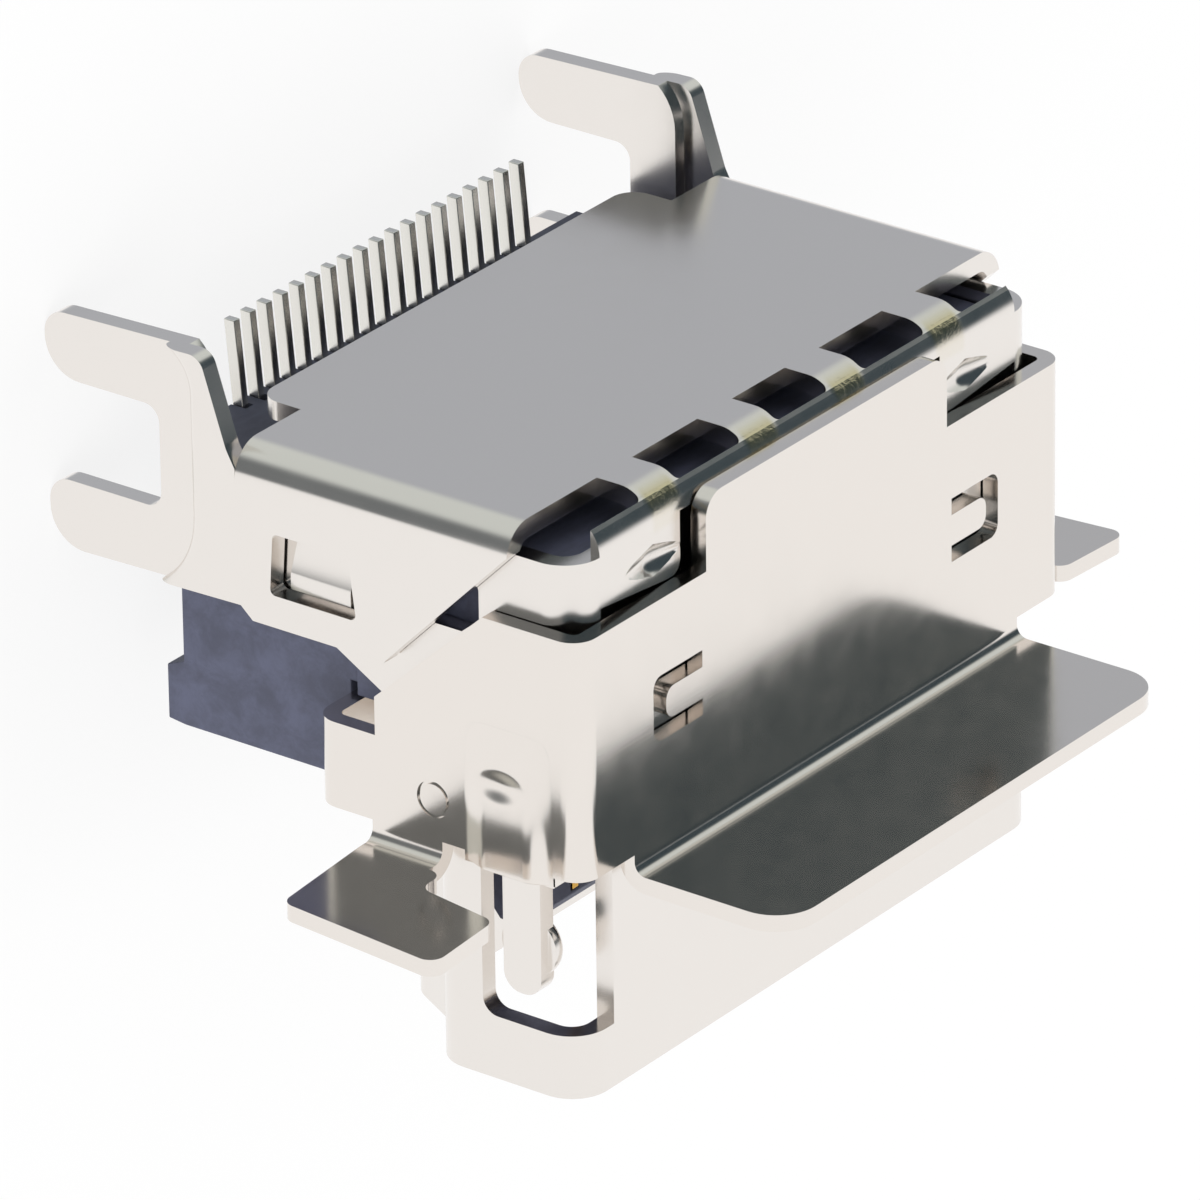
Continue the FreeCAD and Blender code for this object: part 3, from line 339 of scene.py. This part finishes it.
@dataclass(frozen=True)
class PlatedSheet:
    """Bright nickel plate over rolled copper-alloy sheet.

    The plate is a warm near-white mirror, softened by the fine lines that rolling left in
    the sheet below, so broad faces show blurred tones and only bends flash.
    """

    name: str
    colour_hex: str
    roughness: float
    bends: StretchedBends | None = None
    grain_length: float = 1.6 * MM
    grain_width: float = 0.05 * MM
    grain_lift: float = 0.35 * MICRON
    grain_detail: float = 3.0
    grain_roughness: float = 0.6
    mottle: float = 0.8 * MM
    mottle_detail: float = 2.0
    roughness_swing: float = 0.05

    def roughness_map(self, tree: Tree) -> Socket:
        """Let the roughness wander about its mean in patches."""
        least = self.roughness - self.roughness_swing
        most = self.roughness + self.roughness_swing
        rough = node(
            tree, "ShaderNodeMapRange", {},
            {"To Min": least, "To Max": most},
            {"Value": noise(tree, (self.mottle,) * 3, self.mottle_detail)},
        )
        return rough.outputs["Result"]

    def relief(self, tree: Tree) -> Socket:
        """Raise the rolling lines, long along X and fine across it."""
        size = (self.grain_length, self.grain_width, self.grain_width)
        lines = noise(tree, size, self.grain_detail, self.grain_roughness)
        return bump(tree, lines, self.grain_lift)

    def material(self) -> bpy.types.Material:
        """Build the plate, with creased bends where it has them."""
        made, tree = blank_material(self.name)
        relief = self.relief(tree)
        shader = node(
            tree, "ShaderNodeBsdfPrincipled", {},
            {"Base Color": linear(self.colour_hex), "Metallic": 1.0},
            {"Roughness": self.roughness_map(tree), "Normal": relief},
        )
        if self.bends is not None:
            share = self.bends.share(tree)
            creased = combined(tree, "MULTIPLY", share, self.bends.creases(tree))
            folds = bump(tree, creased, self.bends.crease_lift, below=relief)
            tree.links.new(folds, shader.inputs["Normal"])
            tint = mixed_colour(tree, share, self.colour_hex, self.bends.metal_hex)
            tree.links.new(tint, shader.inputs["Base Color"])
        shows(tree, shader.outputs["BSDF"])
        return made


@dataclass(frozen=True)
class MouldedResin:
    """Glass-filled liquid crystal polymer, moulded.

    Dark blue-grey and matte, with a cloudy flow pattern where the glass lies near the skin,
    drawn out into streaks along X as the melt ran.
    """

    name: str
    dark_hex: str
    pale_hex: str
    roughness: float = 0.62
    cloud: float = 0.8 * MM
    streak: float = 3.0
    cloud_from: float = 0.3
    cloud_to: float = 0.7
    cloud_detail: float = 6.0
    cloud_roughness: float = 0.72
    cloud_warp: float = 0.3
    pit: float = 0.09 * MM
    pit_detail: float = 4.0
    pit_depth: float = 6 * MICRON
    pit_strength: float = 0.5
    refraction: float = 1.5

    def material(self) -> bpy.types.Material:
        """Build the resin with its clouds and fine pits."""
        made, tree = blank_material(self.name)
        size = (self.cloud * self.streak, self.cloud, self.cloud)
        clouds = noise(tree, size, self.cloud_detail, self.cloud_roughness, self.cloud_warp)
        tone = ramp(tree, clouds, self.cloud_from, self.cloud_to)
        pits = noise(tree, (self.pit,) * 3, self.pit_detail)
        shader = node(
            tree, "ShaderNodeBsdfPrincipled", {},
            {"Roughness": self.roughness, "IOR": self.refraction},
            {
                "Base Color": mixed_colour(tree, tone, self.dark_hex, self.pale_hex),
                "Normal": bump(tree, pits, self.pit_depth, self.pit_strength),
            },
        )
        shows(tree, shader.outputs["BSDF"])
        return made


@dataclass(frozen=True)
class TinAndGold:
    """Phosphor bronze strip: gold over nickel where a plug rubs, tin on the tails.

    The gold gives a warm glint inside the mouth, and the tin a soft grey shine outside it.
    """

    name: str = "tin_and_gold_plated_bronze"
    tin_hex: str = "E6E4DE"
    gold_hex: str = "E2B45A"
    roughness: float = 0.26
    gold_ends: float = 1.0 * MM
    blend_over: float = 0.4 * MM

    def material(self) -> bpy.types.Material:
        """Build the two platings, parted at one place along the strip."""
        made, tree = blank_material(self.name)
        place = node(tree, "ShaderNodeSeparateXYZ", {}, {}, {"Vector": object_place(tree)})
        share = ramp(tree, place.outputs["Y"], self.gold_ends, self.gold_ends + self.blend_over)
        shader = node(
            tree, "ShaderNodeBsdfPrincipled", {},
            {"Metallic": 1.0, "Roughness": self.roughness},
            {"Base Color": mixed_colour(tree, share, self.gold_hex, self.tin_hex)},
        )
        shows(tree, shader.outputs["BSDF"])
        return made


@dataclass
class CleanCopy:
    """A piece shaped like its CAD node, with joined faces and softened edges."""

    node_name: str
    piece_name: str
    slot_name: str
    edge_round: float
    sharp_above: float = SHARP_ABOVE
    flat_within: float = math.radians(0.6)
    weld: float = 0.2 * MICRON
    segments: int = 2
    broad_face_weight: int = 100
    reshape: Callable[[bmesh.types.BMesh], None] | None = None
    piece: bpy.types.Object | None = field(default=None, init=False)

    def mesh(self) -> bpy.types.Mesh:
        """Join the node's loose triangles and merge the flat ones into whole faces.

        Returns:
            A new mesh in the frame of the part.
        """
        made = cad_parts[self.node_name].data.copy()
        made.name = self.piece_name
        work = bmesh.new()
        work.from_mesh(made)
        bmesh.ops.remove_doubles(work, verts=work.verts, dist=self.weld)
        if self.reshape is not None:
            self.reshape(work)
        bmesh.ops.dissolve_limit(
            work, angle_limit=self.flat_within, verts=work.verts, edges=work.edges
        )
        work.to_mesh(made)
        work.free()
        made.shade_smooth()
        made.set_sharp_from_angle(angle=self.sharp_above)
        return made

    def soften_edges(self) -> None:
        """Round the sharp edges, then let each broad face keep its own flat shading."""
        soften = self.piece.modifiers.new("soft_edges", "BEVEL")
        soften.width = self.edge_round
        soften.segments = self.segments
        soften.limit_method = "ANGLE"
        soften.angle_limit = self.sharp_above
        soften.harden_normals = False
        soften.use_clamp_overlap = True
        flat = self.piece.modifiers.new("flat_faces", "WEIGHTED_NORMAL")
        flat.mode = "FACE_AREA"
        flat.weight = self.broad_face_weight
        flat.keep_sharp = True

    def build(self, material: bpy.types.Material) -> bpy.types.Object:
        """Make the piece, round its edges and let it stand for its node.

        Args:
            material: the finish it gets all over.

        Returns:
            The finished object.
        """
        mesh = self.mesh()
        mesh.materials.clear()
        mesh.materials.append(material)
        self.piece = shown(mesh)
        self.soften_edges()
        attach(self.piece, BODY)
        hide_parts(self.node_name)
        log.info("%s: %d faces before its edges are rounded", self.piece_name, len(mesh.polygons))
        return self.piece


@dataclass
class PressedBulges:
    """Soft bulges that the press left in the sleeve's side walls, each with an oval dent.

    The solid's bulges have crisp rims. In the copy of the outer shell they are pressed back onto
    the wall, and a surface with long soft flanks lies over each place, so reflections bend gently.
    """

    side: float = 7.88 * MM
    solid_rear: float = 1.35 * MM
    front: float = -0.72 * MM
    rear: float = 2.35 * MM
    low: float = 8.08 * MM
    high: float = 10.15 * MM
    lift: float = 0.18 * MM
    side_flank: float = 0.6 * MM
    rear_flank: float = 2.5 * MM
    front_round: float = 0.06 * MM
    wall_reach: float = 0.25 * MM
    near: float = 0.002 * MM
    sunk: float = 0.0005 * MM
    root: float = 0.05 * MM
    dent_at: tuple[float, float] = (1.08 * MM, 8.98 * MM)
    dent_half: tuple[float, float] = (0.38 * MM, 0.66 * MM)
    dent_depth: float = 0.085 * MM
    steps: int = 72

    def press(self, work: bmesh.types.BMesh) -> None:
        """Press the solid's own bulges back onto the wall.

        Args:
            work: the outer shell's joined mesh.
        """
        for corner in work.verts:
            place = corner.co
            across = self.side - self.wall_reach < abs(place.x)
            along = self.front - self.near < place.y < self.solid_rear + self.near
            up = self.low - self.near < place.z < self.high + self.near
            if across and along and up:
                place.x = math.copysign(self.side, place.x)

    def height(self, along: np.ndarray, up: np.ndarray) -> np.ndarray:
        """Work out how far the surface stands off the wall.

        The bulge is the lift times a smooth step, 3t^2 - 2t^3, in from the low, high and rear
        rims. The dent takes its depth times (1 - r^2)^2 from it, with r the distance from the
        dent's middle in half lengths. A quarter round drops the front rim.

        Args:
            along: places along Y.
            up: places along Z.

        Returns:
            The heights.
        """
        total = np.full_like(along, self.lift)
        for inside, flank in (
            (up - self.low, self.side_flank),
            (self.high - up, self.side_flank),
            (self.rear - along, self.rear_flank),
        ):
            share = np.clip(inside / flank, 0, 1)
            total *= share * share * (3 - 2 * share)
        off = ((along - self.dent_at[0]) / self.dent_half[0]) ** 2
        off = np.clip(off + ((up - self.dent_at[1]) / self.dent_half[1]) ** 2, 0, 1)
        total -= self.dent_depth * (1 - off) ** 2
        left = np.clip(self.front_round - (along - self.front), 0, self.front_round)
        return total - self.sunk - (self.front_round - np.sqrt(self.front_round ** 2 - left ** 2))

    def surface(self, toward: int) -> np.ndarray:
        """Lay the grid over one wall, its rim sunk into the sheet.

        Args:
            toward: 1 for the wall at +X, -1 for the one at -X.

        Returns:
            The grid of points, to be closed from behind.
        """
        along = np.pad(np.linspace(self.front, self.rear, self.steps), 1, "edge")
        up = np.pad(np.linspace(self.low, self.high, self.steps), 1, "edge")
        alongs, ups = np.meshgrid(along, up)
        off = self.height(alongs, ups)
        rim = np.pad(np.zeros((self.steps, self.steps), dtype=bool), 1, constant_values=True)
        off[rim] = -self.root
        points = np.stack((toward * (self.side + off), alongs, ups), axis=-1)
        return points[:, ::toward]

    def build(self, material: bpy.types.Material) -> None:
        """Lay a surface over each wall's bulge.

        Args:
            material: the shell's plate.
        """
        for word, toward in (("near", -1), ("far", 1)):
            mesh = grid_mesh(f"{word}_wall_bulge", self.surface(toward), closed=True)
            mesh.materials.append(material)
            mesh.shade_smooth()
            mesh.set_sharp_from_angle(angle=SHARP_ABOVE)
            piece = shown(mesh)
            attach(piece, BODY)


@dataclass
class Shells:
    """The two folded sheets round the socket."""

    sheet_edge: float = 0.045 * MM
    inner_plate: PlatedSheet = PlatedSheet(
        "nickel_plated_inner_sheet", "ECE7E2", 0.2, StretchedBends()
    )
    outer_plate: PlatedSheet = PlatedSheet("nickel_plated_outer_sheet", "EBE5DF", 0.17)
    bulges: PressedBulges = field(default_factory=PressedBulges)

    def build(self) -> None:
        """Dress both sheets in their plate."""
        inner = CleanCopy("inner_shell", "inner_shell_sheet", "inner_plate", self.sheet_edge)
        inner.build(self.inner_plate.material())
        plate = self.outer_plate.material()
        outer = CleanCopy("outer_shell", "outer_shell_sheet", "outer_plate", self.sheet_edge)
        outer.reshape = self.bulges.press
        outer.build(plate)
        self.bulges.build(plate)


@dataclass
class Mouldings:
    """Housing and tail guide."""

    moulded_edge: float = 0.05 * MM
    comb_edge: float = 0.02 * MM
    resin: MouldedResin = MouldedResin("moulded_lcp_housing", "545769", "656980")
    guide_resin: MouldedResin = MouldedResin("moulded_lcp_guide", "444757", "535769")

    def build(self) -> None:
        """Dress the housing and the comb behind it."""
        body = CleanCopy("housing", "housing_moulding", "housing_plastic", self.moulded_edge)
        body.build(self.resin.material())
        comb = CleanCopy("tail_guide", "tail_guide_moulding", "guide_plastic", self.comb_edge)
        comb.build(self.guide_resin.material())


@dataclass
class Contacts:
    """Nineteen stamped strips."""

    count: int = 19
    edge: float = 0.015 * MM
    plating: TinAndGold = TinAndGold()

    def build(self) -> None:
        """Dress every strip in the same plating."""
        material = self.plating.material()
        for number in range(1, self.count + 1):
            name = f"contact_{number:02d}"
            CleanCopy(name, f"{name}_strip", "contact_metal", self.edge).build(material)


@dataclass(frozen=True)
class SoftLamp:
    """A broad square lamp that stands off in one direction and is not mirrored in the metal."""

    name: str
    way: tuple[float, float, float]
    power: float
    size: float = 220 * MM
    reach: float = 400 * MM

    def hang(self) -> None:
        """Put the lamp up, facing the object."""
        data = bpy.data.lights.new(self.name, "AREA")
        data.shape = "SQUARE"
        data.size = self.size
        data.energy = self.power
        lamp = bpy.data.objects.new(self.name, data)
        toward = Vector(self.way).normalized()
        lamp.location = toward * self.reach
        lamp.rotation_euler = (-toward).to_track_quat("-Z", "Y").to_euler()
        lamp.visible_glossy = False
        bpy.context.scene.collection.objects.link(lamp)
        lamp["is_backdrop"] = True


@dataclass
class GreyCard:
    """A domed card behind the tails: grey below, pale at eye level and near black above.

    Polished metal shows what stands round it, so a socket on a white sweep is drawn by the
    dark side of the room. Only mirrored rays see the card, and its rim is as white as the room.
    """

    reach: float = 700 * MM
    rows: int = 24
    columns: int = 48
    grey_hex: str = "B5B9C0"
    pale_hex: str = "D6DBD8"
    dark_hex: str = "3D484E"
    near_hex: str = "74787A"
    rim: tuple[float, float] = (-0.02, 0.24)
    pale_from: tuple[float, float] = (-0.46, -0.12)
    dark_from: tuple[float, float] = (0.31, 0.52)
    overhang: float = 0.16
    spare_turn: float = math.radians(35)
    far_side: tuple[float, float] = (0.34, 0.66)
    near_side: tuple[float, float] = (-0.38, -0.64)

    def surface(self) -> np.ndarray:
        """Work out the half dome.

        A point is the reach times (cos(turn) cos(lift), sin(turn) cos(lift), sin(lift)), with the
        turn running from before +X round +Y to past -X, and the lift from pole to pole.

        Returns:
            The grid of points.
        """
        turn = np.linspace(-self.spare_turn, math.pi + self.spare_turn, self.columns)
        lift = np.linspace(-math.pi / 2, math.pi / 2, self.rows)
        turns, lifts = np.meshgrid(turn, lift)
        flat = np.cos(lifts)
        way = np.stack((np.cos(turns) * flat, np.sin(turns) * flat, np.sin(lifts)), axis=-1)
        return self.reach * way

    def material(self) -> bpy.types.Material:
        """Paint the card by direction, evenly lit."""
        made, tree = blank_material("painted_card")
        way = node(
            tree, "ShaderNodeVectorMath", {"operation": "NORMALIZE"}, {}, {0: object_place(tree)}
        )
        split = node(tree, "ShaderNodeSeparateXYZ", {}, {}, {"Vector": way.outputs["Vector"]})
        along, up = split.outputs["X"], split.outputs["Z"]
        low = mixed_colour(tree, ramp(tree, along, *self.far_side), self.pale_hex, self.grey_hex)
        level = mixed_colour(tree, ramp(tree, up, *self.pale_from), low, self.pale_hex)
        near = mixed_colour(tree, ramp(tree, along, *self.near_side), level, self.near_hex)
        above = ramp(tree, up, *self.dark_from)
        tone = mixed_colour(tree, above, near, self.dark_hex)
        behind = node(
            tree, "ShaderNodeMath",
            {"operation": "MULTIPLY_ADD"},
            {1: self.overhang},
            {0: above, 2: split.outputs["Y"]},
        )
        edge = mixed_colour(tree, ramp(tree, behind.outputs[0], *self.rim), WHITE_HEX, tone)
        lit = node(tree, "ShaderNodeEmission", {}, {"Strength": 1.0}, {"Color": edge})
        shows(tree, lit.outputs["Emission"])
        return made

    def stand(self) -> None:
        """Stand the card up where only mirrored rays meet it."""
        card = shown(grid_mesh("grey_card", self.surface()))
        card.data.materials.append(self.material())
        card.visible_camera = False
        card.visible_diffuse = False
        card.visible_transmission = False
        card.visible_shadow = False
        card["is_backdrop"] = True


@dataclass
class Studio:
    """White backdrop, pale floor, soft lamps and the grey card."""

    floor_size: float = 1600 * MM
    floor_hex: str = "E8E8E8"
    floor_glow: float = 0.84
    floor_shade_share: float = 0.2
    room_level: float = 0.68
    lamps: tuple[SoftLamp, ...] = (
        SoftLamp("leg_side_lamp", (-0.75, -0.1, 0.65), 0.5),
        SoftLamp("roof_lamp", (0.35, -0.25, 0.9), 0.3),
    )
    card: GreyCard = field(default_factory=GreyCard)

    def backdrop_share(self, tree: Tree) -> Socket:
        """Tell the rays that see the plain backdrop: those of the camera, of gloss and of glass."""
        see = node(tree, "ShaderNodeLightPath")
        share = see.outputs[RaySee.CAMERA.value]
        for kind in (RaySee.GLOSSY, RaySee.THROUGH):
            share = combined(tree, "MAXIMUM", share, see.outputs[kind.value])
        return share

    def world(self) -> None:
        """Light matte surfaces from all round, and show plain white behind everything."""
        world = bpy.data.worlds.new("studio")
        bpy.context.scene.world = world
        world.use_nodes = True
        tree = world.node_tree
        tree.nodes.clear()
        white = linear(WHITE_HEX)
        room = node(tree, "ShaderNodeBackground", {}, {"Color": white, "Strength": self.room_level})
        plain = node(tree, "ShaderNodeBackground", {}, {"Color": white, "Strength": 1.0})
        both = node(
            tree, "ShaderNodeMixShader", {}, {},
            {0: self.backdrop_share(tree), 1: room.outputs[0], 2: plain.outputs[0]},
        )
        node(tree, "ShaderNodeOutputWorld", {}, {}, {"Surface": both.outputs[0]})

    def paper(self) -> bpy.types.Material:
        """Build the floor's paper: near white to the camera, yet dimmed by the object's shadow."""
        material, tree = blank_material("paper_sweep")
        colour = linear(self.floor_hex)
        paper = node(tree, "ShaderNodeBsdfDiffuse", {}, {"Color": colour})
        dim = tuple(part * self.floor_shade_share for part in colour[:3]) + (1.0,)
        shade = node(tree, "ShaderNodeBsdfDiffuse", {}, {"Color": dim})
        glow = node(
            tree, "ShaderNodeEmission", {},
            {"Color": linear(WHITE_HEX), "Strength": self.floor_glow},
        )
        seen = node(tree, "ShaderNodeAddShader", {}, {}, {0: shade.outputs[0], 1: glow.outputs[0]})
        mixed = node(
            tree, "ShaderNodeMixShader", {}, {},
            {0: self.backdrop_share(tree), 1: paper.outputs[0], 2: seen.outputs[0]},
        )
        shows(tree, mixed.outputs[0])
        return material

    def floor(self, height: float) -> None:
        """Lay a pale floor that keeps the soft shadow of the object.

        The floor is left out of mirrored rays, as the real socket was not standing on one.

        Args:
            height: where the object's lowest point is.
        """
        side = np.linspace(-self.floor_size / 2, self.floor_size / 2, 2)
        across, along = np.meshgrid(side, side)
        points = np.stack((across, along, np.full_like(across, height)), axis=-1)
        plane = shown(grid_mesh("floor", points))
        plane.data.materials.append(self.paper())
        plane.visible_glossy = False
        plane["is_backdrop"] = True

    def build(self, floor_height: float) -> None:
        """Set up everything round the object.

        Args:
            floor_height: where the object's lowest point is.
        """
        self.world()
        self.floor(floor_height)
        self.card.stand()
        for lamp in self.lamps:
            lamp.hang()


@dataclass
class PhotoCamera:
    """A long lens far off, tipped so that the tails point up in the picture."""

    azimuth: float = math.radians(-121.107)
    elevation: float = math.radians(32.759)
    roll: float = math.radians(107.282)
    reach: float = 250 * MM
    aim: tuple[float, float, float] = (2.354 * MM, -0.582 * MM, 3.638 * MM)
    lens: float = 384.5
    sensor: float = 36.0
    nearest: float = 10 * MM
    farthest: float = 10000 * MM

    def place(self) -> None:
        """Stand the camera on a sphere round its aim, then roll it about its view."""
        data = bpy.data.cameras.new("photo_camera")
        data.lens = self.lens
        data.sensor_width = self.sensor
        data.clip_start = self.nearest
        data.clip_end = self.farthest
        camera = bpy.data.objects.new("photo_camera", data)
        bpy.context.scene.collection.objects.link(camera)
        flat = math.cos(self.elevation)
        back = Vector((
            math.sin(self.azimuth) * flat,
            -math.cos(self.azimuth) * flat,
            math.sin(self.elevation),
        ))
        stand = Matrix.Translation(Vector(self.aim) + back * self.reach)
        look = Euler((math.pi / 2 - self.elevation, 0.0, self.azimuth)).to_matrix().to_4x4()
        turn = Matrix.Rotation(self.roll, 4, "Z")
        camera.matrix_world = stand @ look @ turn
        bpy.context.scene.camera = camera


def box_as_lists() -> list[list[float]]:
    """Give the shown object's two box corners as plain numbers."""
    return [list(corner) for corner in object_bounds()]


def main() -> None:
    """Dress the frame, light it and set the camera."""
    logging.basicConfig(level=logging.INFO)
    bpy.context.scene.view_settings.view_transform = "Standard"
    cad_box = box_as_lists()
    for part in (Shells(), Mouldings(), Contacts()):
        part.build()
        log.info("%s built", type(part).__name__)
    Studio().build(floor_height=cad_box[0][2])
    PhotoCamera().place()


if __name__ == "__main__":
    main()
